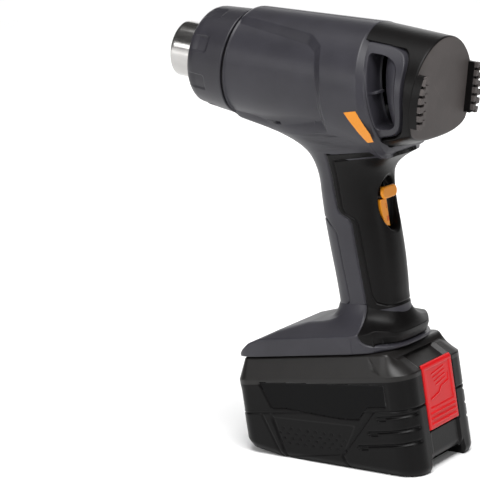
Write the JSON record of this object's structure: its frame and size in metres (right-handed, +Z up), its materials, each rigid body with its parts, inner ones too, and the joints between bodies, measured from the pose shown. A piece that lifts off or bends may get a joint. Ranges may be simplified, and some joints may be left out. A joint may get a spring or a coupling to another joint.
{
  "type": "cordless heat gun",
  "caption": "Cordless heat gun: barrel with steel nozzle and heat sleeve, upright handle with slide switch, rear air intakes and stand pads, slide-on battery pack.",
  "frame": {"origin": "centre of the battery pack's flat underside, on the floor it stands on", "axes": "+X toward the nozzle, +Y the tool's left side, +Z up"},
  "size_m": [0.1882, 0.08, 0.2667],
  "materials": {
    "housing": "satin, fine grain",
    "sleeve": "satin",
    "rubber": "soft touch",
    "black_plastic": "fine grain",
    "gloss_black": "gloss",
    "orange": "satin",
    "red": "satin",
    "steel": "polished",
    "screw_steel": "zinc",
    "copper": "bare",
    "heater_wire": "oxidised",
    "ceramic": "matt ceramic",
    "mica": "mica sheet",
    "circuit_board": "solder mask",
    "cell_wrap": "shrink wrap"
  },
  "bodies": {
    "tool": {"housing_left": "housing", "housing_right": "housing", "housing_screw_1": "screw_steel", "housing_screw_2": "screw_steel", "housing_screw_3": "screw_steel", "housing_screw_4": "screw_steel", "housing_screw_5": "screw_steel", "sleeve_seal": "rubber", "nozzle_tube": "steel", "heater_former": "ceramic", "heating_coil": "heater_wire", "mica_tube": "mica", "heater_flange": "steel", "thermal_cutout": "copper", "fan_shroud": "black_plastic", "motor_can": "steel", "motor_cap": "black_plastic", "motor_mount": "black_plastic", "rear_grip": "rubber", "front_pad": "housing", "switch_bezel": "black_plastic", "switch_scale": "orange", "switch_body": "black_plastic", "rear_cap": "rubber", "intake_grille_left": "housing", "intake_grille_right": "housing", "stand_pad_left": "rubber", "stand_pad_right": "rubber", "foot_shell": "housing", "grip_skirt": "rubber", "control_board": "circuit_board", "terminal_block": "black_plastic", "contact_plus": "copper", "contact_minus": "copper"},
    "fan": {"fan_impeller": "black_plastic"},
    "sleeve": {"heat_sleeve": "sleeve"},
    "switch": {"switch_slider": "orange"},
    "battery": {"battery_upper_case": "black_plastic", "battery_lower_case": "black_plastic", "pack_screw_1": "screw_steel", "pack_screw_2": "screw_steel", "pack_screw_3": "screw_steel", "pack_screw_4": "screw_steel", "label_left": "gloss_black", "label_right": "gloss_black", "cell_1": "cell_wrap", "cell_2": "cell_wrap", "cell_3": "cell_wrap", "cell_4": "cell_wrap", "cell_5": "cell_wrap", "cell_6": "cell_wrap", "cell_7": "cell_wrap", "cell_8": "cell_wrap", "cell_9": "cell_wrap", "cell_10": "cell_wrap", "cell_holder": "black_plastic", "battery_board": "circuit_board", "latch_spring": "steel"},
    "button": {"release_button": "red"},
    "latch": {"latch_hook": "black_plastic"}
  },
  "joints": [
    {"name": "fan_spin", "type": "hinge", "parent": "tool", "child": "fan", "pos_m": [0.03369, 0, 0.22813], "axis": [0.9925, 0, 0.1219], "continuous": true},
    {"name": "sleeve_twist", "type": "hinge", "parent": "tool", "child": "sleeve", "pos_m": [0.03369, 0, 0.22813], "axis": [0.9925, 0, 0.1219], "range_deg": [0, 25]},
    {"name": "switch_slide", "type": "slide", "parent": "tool", "child": "switch", "axis": [-0.1461, 0, -0.9893], "range_m": [0, 0.014]},
    {"name": "battery_slide", "type": "slide", "parent": "tool", "child": "battery", "axis": [-0.9893, 0, 0.1461], "range_m": [0, 0.115]},
    {"name": "button_press", "type": "slide", "parent": "battery", "child": "button", "axis": [0.9893, 0, -0.1461], "range_m": [0, 0.003], "stiffness_N_per_m": 600, "springref_m": -0.001},
    {"name": "latch_drop", "type": "slide", "parent": "battery", "child": "latch", "axis": [-0.1461, 0, -0.9893], "range_m": [0, 0.0045], "stiffness_N_per_m": 200, "springref_m": -0.001, "deforming": ["latch_spring"]}
  ],
  "couplings": [
    {"joint": "latch_drop", "follows": "button_press", "ratio": 1.5}
  ]
}
